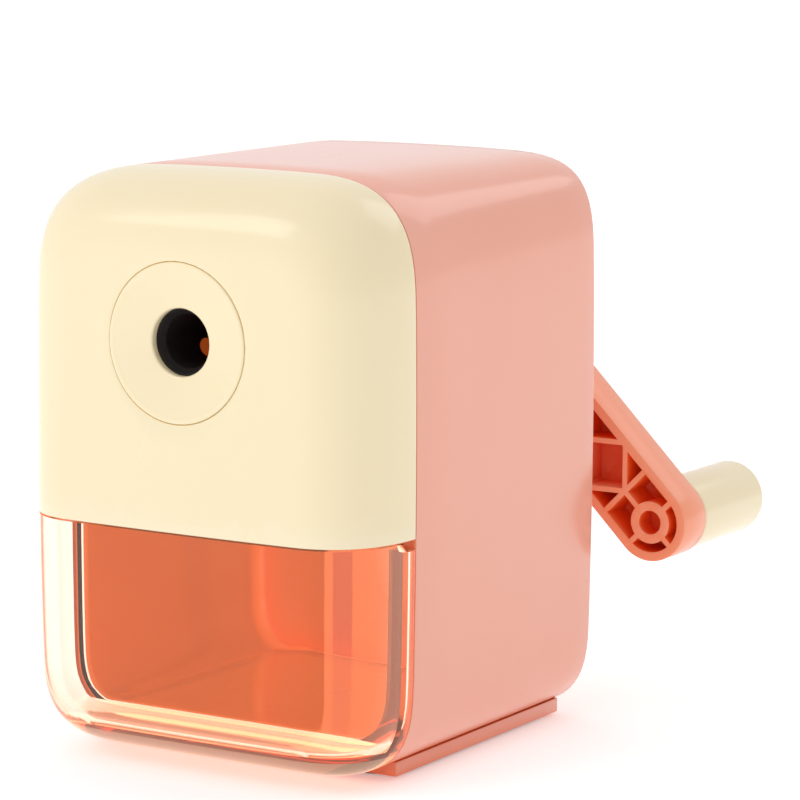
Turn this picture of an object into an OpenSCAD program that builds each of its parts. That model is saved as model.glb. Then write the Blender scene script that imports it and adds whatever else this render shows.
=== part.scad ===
// Hand-crank pencil sharpener: a moulded housing with a clear shavings drawer, a planetary
// helical cutter and a crank with a turning grip at the back.
// +X is right seen from the front, the front faces -Y, +Z is up, z = 0 is the table.

/* [Housing] */
// Width of the housing
body_w = 65; // [65:0.5:80]
// Height of the seam between the drawer front and the cover, above the table
seam_z = 38.8; // [34:0.2:50]
// Room between the seam and the barrel that holds the ring gear
barrel_gap = 6.9; // [6.4:0.1:10]
// Room between the barrel and the roof
roof_gap = 0.9; // [0.6:0.1:6]
// Depth of the rear shell
shell_d = 55.5; // [55:0.5:70]
// Depth of the cover and the drawer front
front_d = 16.5; // [14:0.5:20]
// Wall of the mouldings
wall = 2.4; // [2.2:0.1:3]
// Corner radius of the housing at the top
top_r = 15; // [12:0.5:18]
// Corner radius of the housing at the bottom
low_r = 10; // [10:0.5:13]
// Radius rounding the front edges
front_r = 9; // [7:0.5:9.5]
// Gap at the seams between the visible mouldings
seam_gap = 0.3; // [0.2:0.05:0.5]

/* [Base] */
// Height of the housing above the table
body_z0 = 1.2; // [0.8:0.1:2]
// How far the base plate stands in from the sides
base_inset = 5.5; // [4:0.5:8]
// Thickness of the base plate
base_t = 2.3; // [2:0.1:3]
// How far the rubber foot ring stands out under the base plate
foot_proud = 0.5; // [0.3:0.1:0.8]

/* [Drawer] */
// Wall of the drawer's tub
tub_wall = 1.6; // [1.2:0.1:2]
// Gap between the tub and the shell
tub_gap = 0.4; // [0.3:0.05:0.6]
// Gap between the tub's back and the shell's back wall
tub_back_gap = 3.5; // [2:0.5:8]

/* [Pencil hole] */
// Radius of the bezel around the pencil hole
bezel_r = 12.3; // [11:0.1:13]
// Radius of the hole's rim in the bezel
rim_r = 5.15; // [4.8:0.05:5.5]
// Radius of the guide bore for the pencil
guide_r = 4.2; // [4:0.05:4.4]

/* [Cutter] */
// Half the point angle cut on the pencil
point_half = 11; // [10:0.5:12]
// Radius of the helical cutter
cutter_r = 6; // [5.8:0.1:6.2]
// Length of the helical cutter
cutter_len = 23; // [19:0.5:28]
// Radius of the cutter's axle
axle_r = 1.5; // [1.3:0.1:1.6]
// Teeth on the fixed ring gear
ring_teeth = 40; // [40:4:40]
// Teeth on the cutter's pinion
pinion_teeth = 12; // [12:1:12]
// Radius of the drive shaft
shaft_r = 3; // [2.5:0.1:3.6]

/* [Crank] */
// Distance from the shaft to the grip's axis
crank_r = 51.8; // [45:0.2:62]
// Angle of the arm below the horizontal
crank_angle = 45; // [0:5:90]
// Distance from the shell's back to the arm
arm_gap = 12; // [8:0.5:16]
// Width of the arm
arm_w = 13; // [12:0.5:16]
// Depth of the arm
arm_d = 7.8; // [6:0.2:9.4]
// Thickness of the arm's rim and back plate
arm_rim = 1.5; // [1.2:0.1:1.8]
// Radius of the grip
grip_r = 6.2; // [5.5:0.1:8]
// Length of the grip
grip_len = 22.4; // [16:0.2:28]

/* [Hidden] */
$fn = 48;
eps = 0.01;
hull_fn = 40;
running = 0.06;

pink = "#eeb09c";
cream = "#f8ecc8";
clear_orange = [0.93, 0.62, 0.45, 0.45];
steel = "#b9bcc0";
dark = "#2c2b2c";
coral = "#d9805c";

// Gears, sized from the cutter: s runs from the point of the pencil towards the front, and both
// gears taper to the apex where the cutter's axis meets the pencil's, s_apex behind the point
s_apex = cutter_r / sin(point_half);
s_cut0 = 1.5;
pinion_w = 4.5;
collar_len = 1.2;
z_cut0 = (s_cut0 + s_apex) / cos(point_half);
z_cut1 = z_cut0 + cutter_len;
z_pin0 = z_cut1 + collar_len;
z_pin1 = z_pin0 + pinion_w;
s_pin0 = z_pin0 * cos(point_half) - s_apex;
s_pin1 = z_pin1 * cos(point_half) - s_apex;
gear_ratio = ring_teeth / pinion_teeth;
pinion_cone = atan(sin(point_half) / (gear_ratio - cos(point_half)));
ring_cone = pinion_cone + point_half;
backlash = 0.28;
ring_s0 = s_pin0 - 0.5;
ring_s1 = s_pin1 + 0.1;
ring_short = 0.6;
ring_deep = 1.15;
ring_wall = 2.4;
ring_tip_r = (ring_s0 + s_apex) * tan(ring_cone) * (1 - 2 * ring_short / ring_teeth);
ring_root_r = (ring_s1 + s_apex) * tan(ring_cone) * (1 + 2 * ring_deep / ring_teeth);
barrel_wall = 1.5;
barrel_in = ring_root_r + ring_wall;
barrel_out = barrel_in + barrel_wall;

// Housing places along Y and Z
half_w = body_w / 2;
axis_z = seam_z + barrel_gap + barrel_out;
body_h = axis_z + barrel_out + roof_gap + wall;
y_join = -shell_d / 2;
y_back = shell_d / 2;
y_front = y_join - front_d;

// Lip of the shell's mouth inside the cover
lip_t = wall / 2;
lip_len = 2.5;
lip_gap = 0.1;

// Base plate, its recess and the floor above it
base_half = half_w - base_inset;
base_z0 = foot_proud;
base_z1 = base_z0 + base_t;
base_y0 = y_join + 3.4;
base_y1 = y_back - 1.35;
base_fit = 0.15;
floor_z = base_z1 + 2;
screw_boss_z = floor_z + 0.2;
screw_boss_r = 3.8;
base_screw_r = 1.3;
base_head_r = 2.6;
base_head_t = 1.1;
base_screw_ys = [y_join + 10.5, y_join + 28.5, y_join + 46.5];

// Foot ring under the base plate
foot_w = 3;
foot_t = 1.4;
foot_edge = 1;
foot_r = 6;

// Shavings drawer
tub_out = wall + tub_gap;
tub_in = tub_out + tub_wall;
tub_z0 = screw_boss_z + 0.1;
tub_z1 = seam_z - seam_gap - 1.4;
tub_y1 = y_back - wall - tub_back_gap;
tub_floor_t = 1.6;
flange_t = 1.6;

// Bezel seat and neck
bezel_gap = 0.2;
bezel_t = 1.8;
dish_depth = 1.3;
rim_depth = 2.2;
neck_wall = 1.7;
neck_depth = 5.4;

// Inner frame: plate, guide tube, barrel and posts
boss_r = 3.2;
boss_len = 5.4;
plate_t = 2.4;
plate_y0 = y_front + wall + boss_len;
plate_y1 = plate_y0 + plate_t;
plate_half = half_w - 4.3;
plate_z0 = seam_z + 3.6;
plate_z1 = body_h - 5.6;
plate_r = 8;
guide_out = guide_r + 2;
neck_in = guide_out + 0.2;
neck_out = neck_in + neck_wall;
guide_y0 = y_front + rim_depth + 0.2;
journal_len = 6.8;
guide_y1 = plate_y1 + journal_len;
post_r = 3;
post_x = half_w - 7.3;
post_z = seam_z + 7.5;
cover_low = [half_w - 7.3, seam_z + 19.5];
cover_top = [half_w - 11, body_h - 9.5];
cover_screw_r = 1.2;
cover_head_r = 2.4;
cover_head_t = 1.5;
screw_depth = 6;
rear_pad_r = 5;
rear_pad_t = 2;
rear_head_r = 2.9;
rear_head_t = 1.6;
rear_recess = 2.2;
rear_screw_r = 1.4;
rear_screw_len = 10;

// Cutter's place behind the guide, and its flutes
collar_gap = 1.6;
tip_y = guide_y1 + s_pin1 + collar_gap;
apex_y = tip_y + s_apex;
ring_y0 = tip_y - ring_s1;
ring_y1 = tip_y - ring_s0;
flutes = 12;
flute_depth = 1;
helix_twist = 120;

// Carrier: front collar and plate, web, back plate and hub
carrier_y0 = plate_y1 + 0.3;
front_plate_y1 = guide_y1 - 0.2;
front_plate_y0 = front_plate_y1 - 3;
axle_front_offset = (tip_y - front_plate_y0) * tan(point_half) + cutter_r / cos(point_half);
front_plate_r = axle_front_offset + axle_r + 3;
collar_r = guide_out + 3.8;
web_out = ring_tip_r - 1;
web_in = web_out - 1.8;
back_plate_y0 = tip_y + 1;
back_plate_y1 = back_plate_y0 + 4;
back_plate_r = web_out;
hub_r = shaft_r + 3.2;
bushing_flange_t = 1.5;
bushing_y0 = y_back - wall - 3;
bushing_r = shaft_r + 2.5;
bushing_flange_r = bushing_r + 2;
washer_t = 0.8;
washer_gap = 0.1;
hub_y1 = bushing_y0 - bushing_flange_t - washer_t - 2 * washer_gap;
axle_s0 = -4;
z_axle0 = (axle_s0 + s_apex) / cos(point_half);
z_axle1 = (tip_y - front_plate_y0 + s_apex) / cos(point_half) + 2.2;
clip_z0 = z_axle1 - 1.4;
clip_t = 0.6;
shaft_y0 = tip_y + 4;
pin_y = hub_y1 - 5;
pin_r = 1;

// Crank
arm_y0 = y_back + arm_gap;
arm_y1 = arm_y0 + arm_d;
hub_out = shaft_r + 4.5;
hub_disc_r = hub_out + 0.9;
hub_y0 = y_back + 0.6;
shaft_y1 = arm_y1 - 5.2;
screw_seat_y = arm_y1 - 3.2;
cap_r = 4.2;
cap_t = 0.9;
crank_screw_r = 1.4;
crank_head_r = 3;
crank_head_t = 2;
tip_r = 3.55;
grip_pin_r = 2;
pin_inset = 4.4;
grip_gap = 0.5;
grip_y0 = arm_y1 + grip_gap;
grip_y1 = grip_y0 + grip_len;
grip_edge = 2.4;
grip_recess = 4;
grip_cap_r = grip_r - grip_edge;
grip_head_r = grip_cap_r - 0.4;
grip_head_t = 1.6;
grip_cap_t = 1.3;
rib_t = 0.9;
node_step = 6.8;
rim_step = 11.8;

// --- helpers -------------------------------------------------------------------------------

// A cylinder along Y
module y_cyl(r, y0, y1, x = 0, z = axis_z) {
  translate([x, y1, z]) rotate([90, 0, 0]) cylinder(r = r, h = y1 - y0);
}

// A cone along Y, r0 at y0 and r1 at y1
module y_cone(r0, r1, y0, y1, x = 0, z = axis_z) {
  translate([x, y1, z]) rotate([90, 0, 0]) cylinder(r1 = r1, r2 = r0, h = y1 - y0);
}

// A plain box from its low corner to its high corner
module block(low, high) {
  translate(low) cube(high - low);
}

// A rectangle with round corners, centred on the origin
module round_rect(half_x, half_y, r) {
  square([2 * (half_x - r), 2 * half_y], center = true);
  square([2 * half_x, 2 * (half_y - r)], center = true);
  for (sx = [-1, 1]) {
    for (sy = [-1, 1]) {
      translate([sx * (half_x - r), sy * (half_y - r)]) circle(r);
    }
  }
}

// Cross-section of the housing in X and Z, drawn inset all round
module housing_section(inset) {
  w = half_w - inset;
  z0 = body_z0 + inset;
  z1 = body_h - inset;
  rt = top_r - inset;
  rl = low_r - inset;
  translate([-w + rt, z0 + rl]) square([2 * (w - rt), z1 - z0 - rl]);
  translate([-w, z0 + rl]) square([2 * w, z1 - rt - z0 - rl]);
  translate([-w + rl, z0]) square([2 * (w - rl), rl + eps]);
  for (side = [-1, 1]) {
    translate([side * (w - rt), z1 - rt]) circle(rt);
    translate([side * (w - rl), z0 + rl]) circle(rl);
  }
}

// The housing's section extruded from y0 to y1
module housing_run(inset, y0, y1) {
  translate([0, y1, 0]) rotate([90, 0, 0]) linear_extrude(y1 - y0) housing_section(inset);
}

// Solid form of the housing's front, with its front edges rounded
module front_form(inset, y_end = y_join) {
  z_top = body_h - top_r;
  z_low = body_z0 + low_r;
  hull() {
    for (side = [-1, 1]) {
      front_corner(side * (half_w - top_r), z_top, top_r, inset, y_end);
      front_corner(side * (half_w - low_r), z_low, low_r, inset, y_end);
    }
  }
}

// One corner of the front form: a disc whose front edge is rounded
module front_corner(x, z, r, inset, y_end) {
  depth = y_end - y_front;
  translate([x, y_end, z]) rotate([90, 0, 0]) {
    cylinder(r = r - inset, h = depth - front_r, $fn = hull_fn);
    rotate_extrude($fn = hull_fn) intersection() {
      translate([r - front_r, depth - front_r]) circle(front_r - inset, $fn = hull_fn);
      translate([0, depth - front_r]) square(r);
    }
  }
}

// Everything above or below the seam, over the whole front
module above(z) {
  block([-body_w, y_front - 10, z], [body_w, y_back + 10, body_h + 10]);
}
module below(z) {
  block([-body_w, y_front - 10, -10], [body_w, y_back + 10, z]);
}

// Frame of the cutter: Z runs from the apex along the cutter's axis, Y points away from the pencil
module on_cutter_axis() {
  translate([0, apex_y, axis_z]) rotate([90 - point_half, 0, 0]) children();
}

// Frame of the arm: X runs from the hub to the grip, Z runs back from the arm's front face
module on_arm() {
  translate([0, arm_y0, axis_z]) rotate([0, crank_angle, 0]) rotate([-90, 0, 0]) children();
}

// --- gear outlines -------------------------------------------------------------------------

// Angle in degrees that an involute has unwound at radius r from the base circle rb
function unwound(r, rb) = r <= rb ? 0 : tan(acos(rb / r)) * 180 / PI - acos(rb / r);

// Half the angle of a tooth at radius r
function tooth_half(r, rp, rb, half_pitch) = half_pitch + unwound(rp, rb) - unwound(r, rb);

// Radii at which a flank is drawn
function flank_radii(r0, r1, steps) = [for (i = [0 : steps]) r0 + (r1 - r0) * i / steps];

// Outline of a gear with n teeth; extra widens each tooth along the pitch circle
function gear_outline(n, rp, add, ded, extra) =
  let (
    rb = rp * cos(20),
    half_pitch = 90 / n + extra / rp * 90 / PI,
    radii = flank_radii(rp - ded, rp + add, 4)
  )
  [
    for (i = [0 : n - 1]) each concat(
      [for (r = radii) polar(r, i * 360 / n - tooth_half(max(r, rb), rp, rb, half_pitch))],
      [for (k = [4 : -1 : 0]) polar(radii[k], i * 360 / n + tooth_half(max(radii[k], rb), rp, rb, half_pitch))]
    )
  ];

function polar(r, a) = [r * cos(a), r * sin(a)];

// A gear whose teeth taper to the apex, from z0 to z1 along its axis
module tapered_gear(n, cone, z0, z1, add, ded, extra) {
  rp = z0 * tan(cone);
  m = 2 * rp / n;
  translate([0, 0, z0]) linear_extrude(z1 - z0, scale = z1 / z0)
    polygon(gear_outline(n, rp, add * m, ded * m, extra));
}

// --- fasteners -----------------------------------------------------------------------------

// Pan-head screw pointing along -Z from its head's seat at the origin, with a cross recess
module pan_screw(r, length, head_r, head_t) {
  difference() {
    union() {
      translate([0, 0, -length]) cylinder(r = r, h = length + eps);
      cylinder(r = head_r, h = head_t);
    }
    for (a = [0, 90]) {
      rotate([0, 0, a]) translate([-head_r * 0.55, -0.3, head_t * 0.45]) cube([head_r * 1.1, 0.6, head_t]);
    }
  }
}

// --- housing -------------------------------------------------------------------------------

module body_shell() {
  color(pink) difference() {
    union() {
      difference() {
        housing_run(0, y_join, y_back);
        housing_run(wall, y_join - 1, y_back - wall);
      }
      // Floor over the base plate, inside the walls
      intersection() {
        housing_run(wall - eps, y_join, y_back - wall + eps);
        block([-half_w, y_join, 0], [half_w, y_back, floor_z]);
      }
      // Lip that the cover fits over
      intersection() {
        difference() {
          housing_run(lip_t + lip_gap, y_join - lip_len, y_join + eps);
          housing_run(wall, y_join - lip_len - 1, y_join + 1);
        }
        above(seam_z + wall + lip_gap);
      }
      for (y = base_screw_ys) {
        translate([0, y, base_z1]) cylinder(r = screw_boss_r, h = screw_boss_z - base_z1);
      }
      y_cyl(bushing_flange_r + 1, bushing_y0, y_back - wall + eps);
      for (side = [-1, 1]) {
        y_cyl(rear_pad_r, y_back - wall - rear_pad_t, y_back - wall + eps, side * post_x, post_z);
      }
    }
    base_pocket();
    for (y = base_screw_ys) {
      translate([0, y, 0]) cylinder(r = base_screw_r, h = floor_z - 0.6);
    }
    y_cyl(bushing_r, bushing_y0 - 1, y_back + 1);
    for (side = [-1, 1]) {
      y_cyl(rear_screw_r + 0.2, y_back - wall - rear_pad_t - 1, y_back + 1, side * post_x, post_z);
      y_cyl(rear_head_r + 0.3, y_back - rear_recess, y_back + 1, side * post_x, post_z);
    }
  }
}

// Recess under the shell that takes the base plate
module base_pocket() {
  block(
    [-base_half - base_fit, base_y0 - base_fit, -1],
    [base_half + base_fit, base_y1 + base_fit, base_z1]
  );
}

module base_plate() {
  color(pink) difference() {
    block([-base_half, base_y0, base_z0], [base_half, base_y1, base_z1]);
    foot_ring_shape();
    for (y = base_screw_ys) {
      translate([0, y, -1]) cylinder(r = base_screw_r + 0.2, h = base_z1 + 2);
      translate([0, y, -1]) cylinder(r = base_head_r + 0.2, h = base_z0 + base_head_t + 1.1);
    }
  }
}

module foot_ring_shape() {
  half_x = base_half - foot_edge;
  half_y = (base_y1 - base_y0) / 2 - foot_edge;
  translate([0, (base_y0 + base_y1) / 2, 0]) linear_extrude(foot_t) difference() {
    round_rect(half_x, half_y, foot_r);
    round_rect(half_x - foot_w, half_y - foot_w, foot_r - foot_w);
  }
}

module foot_ring() {
  color(dark) foot_ring_shape();
}

module base_screws() {
  seat = base_z0 + base_head_t + 0.1;
  color(steel) for (y = base_screw_ys) {
    translate([0, y, seat]) rotate([180, 0, 0])
      pan_screw(base_screw_r, floor_z - 0.8 - seat, base_head_r, base_head_t);
  }
}

module front_cover() {
  z0 = seam_z;
  color(cream) difference() {
    union() {
      difference() {
        intersection() {
          front_form(0, y_join - seam_gap / 2);
          above(z0);
        }
        intersection() {
          front_form(wall, y_join + 1);
          above(z0 + wall);
        }
      }
      for (side = [-1, 1]) {
        for (p = [cover_low, cover_top]) {
          y_cyl(boss_r, y_front + wall / 2, plate_y0, side * p[0], p[1]);
        }
      }
    }
    // Rebate over the shell's lip
    intersection() {
      housing_run(lip_t, y_join - lip_len - 0.2, y_join + 1);
      above(z0 + wall);
    }
    for (side = [-1, 1]) {
      for (p = [cover_low, cover_top]) {
        y_cyl(cover_screw_r, plate_y0 - screw_depth, plate_y0 + 1, side * p[0], p[1]);
      }
    }
    y_cyl(bezel_r + bezel_gap, y_front - 1, y_front + bezel_t);
    y_cyl(neck_out + 0.1, y_front - 1, y_front + wall + 1);
  }
}

module hole_bezel() {
  color(cream) difference() {
    union() {
      y_cyl(bezel_r, y_front, y_front + bezel_t);
      y_cyl(neck_out, y_front + bezel_t - eps, y_front + neck_depth);
    }
    y_cone(bezel_r - 0.9, rim_r, y_front - eps, y_front + dish_depth);
    y_cyl(rim_r, y_front - 1, y_front + neck_depth + 1);
    y_cyl(neck_in, y_front + rim_depth, y_front + neck_depth + 1);
  }
}

module shavings_drawer() {
  z1 = seam_z - seam_gap;
  y_cap = y_join - seam_gap / 2;
  color(clear_orange) {
    difference() {
      union() {
        // Front cap, which carries on the cover's shape
        intersection() {
          front_form(0, y_cap);
          below(z1);
        }
        intersection() {
          housing_run(tub_out, y_cap - 1, tub_y1);
          block([-half_w, y_cap - 1, tub_z0], [half_w, tub_y1, tub_z1]);
        }
      }
      // Inside of the cap
      intersection() {
        front_form(wall, y_cap - flange_t);
        block([-half_w, y_front, tub_z0 + tub_floor_t], [half_w, y_join, body_h]);
      }
      // Inside of the tub
      intersection() {
        housing_run(tub_in, y_cap - flange_t - 1, tub_y1 - tub_wall);
        block(
          [-half_w, y_cap - flange_t - 1, tub_z0 + tub_floor_t],
          [half_w, tub_y1 - tub_wall, body_h]
        );
      }
      // Room for the shell's lip and the cover's ledge over the cap's flange
      block([-half_w, y_cap - flange_t - 1, tub_z1], [half_w, y_join + 1, z1 + 1]);
    }
  }
}

// --- mechanism -----------------------------------------------------------------------------

module inner_frame() {
  color(dark) difference() {
    union() {
      translate([0, plate_y1, (plate_z0 + plate_z1) / 2]) rotate([90, 0, 0])
        linear_extrude(plate_t) round_rect(plate_half, (plate_z1 - plate_z0) / 2, plate_r);
      y_cyl(guide_out, guide_y0, guide_y1);
      y_cyl(barrel_out, plate_y0, ring_y1 + 0.6);
      for (side = [-1, 1]) {
        y_cyl(post_r, plate_y0 + eps, y_back - wall - rear_pad_t, side * post_x, post_z);
      }
    }
    difference() {
      y_cyl(barrel_in, plate_y1, ring_y1 + 2);
      y_cyl(guide_out, guide_y0, guide_y1);
    }
    y_cyl(guide_r, guide_y0 - 1, guide_y1 + 1);
    // Mouth of the guide bore
    y_cone(guide_r + 0.7, guide_r, guide_y0 - eps, guide_y0 + 1.2);
    for (side = [-1, 1]) {
      for (p = [cover_low, cover_top]) {
        y_cyl(cover_screw_r + 0.2, plate_y0 - 1, plate_y1 + 1, side * p[0], p[1]);
      }
      y_cyl(rear_screw_r, y_back - rear_recess - rear_screw_len - 0.5, y_back, side * post_x, post_z);
    }
  }
}

module cover_screws() {
  color(steel) for (side = [-1, 1]) {
    for (p = [cover_low, cover_top]) {
      translate([side * p[0], plate_y1, p[1]]) rotate([-90, 0, 0])
        pan_screw(cover_screw_r, plate_t + screw_depth - 0.5, cover_head_r, cover_head_t);
    }
  }
}

module rear_screws() {
  color(steel) for (side = [-1, 1]) {
    translate([side * post_x, y_back - rear_recess, post_z]) rotate([-90, 0, 0])
      pan_screw(rear_screw_r, rear_screw_len, rear_head_r, rear_head_t);
  }
}

module ring_gear() {
  color(dark) difference() {
    y_cyl(barrel_in, ring_y0, ring_y1);
    translate([0, apex_y, axis_z]) rotate([90, 0, 0])
      tapered_gear(ring_teeth, ring_cone, ring_s0 + s_apex - 0.3, ring_s1 + s_apex + 0.3, ring_deep, ring_short, backlash / 2);
  }
}

module rear_bushing() {
  color("#c9a24b") difference() {
    union() {
      y_cyl(bushing_r, bushing_y0, y_back + 0.3);
      y_cyl(bushing_flange_r, bushing_y0 - bushing_flange_t, bushing_y0);
    }
    y_cyl(shaft_r + running, bushing_y0 - 3, y_back + 1);
  }
}

module cutter_carrier() {
  color(coral) difference() {
    union() {
      y_cyl(collar_r, carrier_y0, front_plate_y1);
      y_cyl(front_plate_r, front_plate_y0, front_plate_y1);
      y_cyl(back_plate_r, back_plate_y0, back_plate_y1);
      y_cyl(hub_r, back_plate_y0, hub_y1);
      // Web that ties the plates together on the side away from the cutter
      intersection() {
        difference() {
          y_cyl(web_out, front_plate_y0 + 1, back_plate_y1 - 1);
          y_cyl(web_in, front_plate_y1 - eps, back_plate_y0 + eps);
        }
        block([-web_out, carrier_y0, axis_z - web_out], [web_out, back_plate_y1, axis_z - 2]);
      }
    }
    y_cyl(guide_out + running, carrier_y0 - 1, front_plate_y1 + 0.5);
    y_cyl(shaft_r, shaft_y0, hub_y1 + 1);
    on_cutter_axis() translate([0, 0, z_axle0]) cylinder(r = axle_r, h = z_axle1 - z_axle0 + 3);
    translate([0, pin_y, axis_z]) rotate([0, 90, 0]) cylinder(r = pin_r, h = 4 * hub_r, center = true);
  }
}

module helical_cutter() {
  outline = [
    for (i = [0 : flutes - 1]) each [
      polar(cutter_r, i * 360 / flutes),
      polar(cutter_r - 0.1, (i + 0.22) * 360 / flutes),
      polar(cutter_r - flute_depth, (i + 0.5) * 360 / flutes),
      polar(cutter_r - flute_depth + 0.1, (i + 0.86) * 360 / flutes)
    ]
  ];
  color(steel) on_cutter_axis() difference() {
    translate([0, 0, z_cut0]) linear_extrude(cutter_len, twist = helix_twist, slices = 20) polygon(outline);
    translate([0, 0, z_cut0 - 1]) cylinder(r = axle_r + running, h = cutter_len + 2);
  }
}

module cutter_pinion() {
  color(coral) on_cutter_axis() difference() {
    union() {
      tapered_gear(pinion_teeth, pinion_cone, z_pin0, z_pin1, 0.85, 1.1, -backlash / 2);
      translate([0, 0, z_cut1]) cylinder(r = 3.2, h = collar_len + 1);
    }
    translate([0, 0, z_cut1 - 1]) cylinder(r = axle_r + running, h = pinion_w + collar_len + 2);
  }
}

module cutter_axle() {
  color(steel) on_cutter_axis() difference() {
    translate([0, 0, z_axle0]) cylinder(r = axle_r, h = z_axle1 - z_axle0);
    translate([0, 0, clip_z0]) difference() {
      cylinder(r = axle_r + 1, h = clip_t);
      translate([0, 0, -1]) cylinder(r = axle_r - 0.4, h = clip_t + 2);
    }
  }
}

module axle_clip() {
  color(steel) on_cutter_axis() translate([0, 0, clip_z0]) difference() {
    cylinder(r = axle_r + 1.1, h = clip_t);
    translate([0, 0, -1]) cylinder(r = axle_r - 0.4, h = clip_t + 2);
    translate([-0.8, 0, -1]) cube([1.6, axle_r + 2, clip_t + 2]);
  }
}

module drive_shaft() {
  color(steel) difference() {
    y_cyl(shaft_r, shaft_y0, shaft_y1);
    y_cyl(crank_screw_r, shaft_y1 - 9, shaft_y1 + 1);
    translate([0, pin_y, axis_z]) rotate([0, 90, 0]) cylinder(r = pin_r, h = 4 * hub_r, center = true);
  }
}

module shaft_pin() {
  color(steel) translate([0, pin_y, axis_z]) rotate([0, 90, 0])
    cylinder(r = pin_r, h = 2 * hub_r - 0.4, center = true);
}

module thrust_washer() {
  color(steel) difference() {
    y_cyl(hub_r, hub_y1 + washer_gap, hub_y1 + washer_gap + washer_t);
    y_cyl(shaft_r + running, hub_y1 - 1, hub_y1 + washer_t + 1);
  }
}

// --- crank ---------------------------------------------------------------------------------

// Outline of the arm: straight sides and a round end at the grip
module arm_outline(inset) {
  r = arm_w / 2 - inset;
  translate([0, -r]) square([crank_r, 2 * r]);
  translate([crank_r, 0]) circle(r);
  circle(hub_disc_r - inset);
}

// A rib between two points of the arm
module rib(from, to) {
  run = to - from;
  translate(from) rotate(atan2(run[1], run[0])) translate([0, -rib_t / 2]) square([norm(run), rib_t]);
}

// Ribs seen on the arm's front side: webs round the boss, then a diamond lattice up to the hub
module arm_ribs() {
  tip = [crank_r, 0];
  first = tip - [node_step, 0];
  side = arm_w / 2 - arm_rim / 2;
  for (a = [0, 90, -90]) {
    rib(tip, tip + (arm_w / 2 - arm_rim / 2) * [cos(a), sin(a)]);
  }
  rib(first, tip);
  rib([first[0], -side], [first[0], side]);
  for (start = [first[0] : -2 * side : hub_out + 2 * side]) {
    for (s = [-1, 1]) {
      rib([start, 0], [start - side, s * side]);
      rib([start - 2 * side, 0], [start - side, s * side]);
    }
  }
}

module crank_arm() {
  color(pink) difference() {
    union() {
      on_arm() {
        linear_extrude(arm_d - arm_rim + eps) {
          difference() {
            arm_outline(0);
            arm_outline(arm_rim);
          }
          intersection() {
            arm_ribs();
            arm_outline(arm_rim / 2);
          }
          translate([crank_r, 0]) circle(tip_r);
        }
        translate([0, 0, arm_d - arm_rim]) linear_extrude(arm_rim) arm_outline(0);
      }
      y_cyl(hub_out, hub_y0, arm_y1);
    }
    y_cyl(shaft_r, hub_y0 - 1, shaft_y1);
    y_cyl(crank_screw_r + 0.1, shaft_y1 - 1, arm_y1 + 1);
    y_cyl(cap_r, screw_seat_y, arm_y1 + 1);
    on_arm() translate([crank_r, 0, -1]) cylinder(r = grip_pin_r, h = arm_d + 2);
  }
}

module crank_screw() {
  color(steel) translate([0, screw_seat_y, axis_z]) rotate([-90, 0, 0])
    pan_screw(crank_screw_r, screw_seat_y - shaft_y1 + 8, crank_head_r, crank_head_t);
}

module hub_cap() {
  color(pink) y_cyl(cap_r, arm_y1 - cap_t, arm_y1);
}

// Places its children on the grip's axis, Z running back along +Y from y = 0
module on_grip_axis() {
  translate([0, 0, axis_z]) rotate([0, crank_angle, 0]) translate([crank_r, 0, 0]) rotate([-90, 0, 0]) children();
}

module crank_grip() {
  color(cream) on_grip_axis() difference() {
    rotate_extrude() difference() {
      translate([0, grip_y0]) union() {
        square([grip_r, grip_len - grip_edge]);
        square([grip_r - grip_edge, grip_len]);
        translate([grip_r - grip_edge, grip_len - grip_edge]) circle(grip_edge);
      }
      translate([-2 * grip_r, grip_y0 - 1]) square([2 * grip_r, grip_len + 2]);
    }
    translate([0, 0, grip_y0 - 1]) cylinder(r = grip_pin_r + running, h = grip_len + 2);
    translate([0, 0, grip_y1 - grip_recess]) cylinder(r = grip_cap_r, h = grip_recess + 1);
  }
}

module grip_pin() {
  color(pink) on_grip_axis() {
    translate([0, 0, arm_y0 + pin_inset])
      cylinder(r = grip_pin_r, h = grip_y1 - grip_recess + 0.1 - arm_y0 - pin_inset);
    translate([0, 0, grip_y1 - grip_recess + 0.1]) cylinder(r = grip_head_r, h = grip_head_t);
  }
}

module grip_cap() {
  color(cream) on_grip_axis() translate([0, 0, grip_y1 - grip_cap_t])
    cylinder(r = grip_cap_r, h = grip_cap_t);
}

body_shell();
base_plate();
foot_ring();
base_screws();
front_cover();
hole_bezel();
shavings_drawer();
inner_frame();
cover_screws();
rear_screws();
ring_gear();
rear_bushing();
cutter_carrier();
helical_cutter();
cutter_pinion();
cutter_axle();
axle_clip();
drive_shaft();
shaft_pin();
thrust_washer();
crank_arm();
crank_screw();
hub_cap();
crank_grip();
grip_pin();
grip_cap();
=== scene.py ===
import math

import bmesh
import bpy
from mathutils import Matrix, Vector


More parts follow.
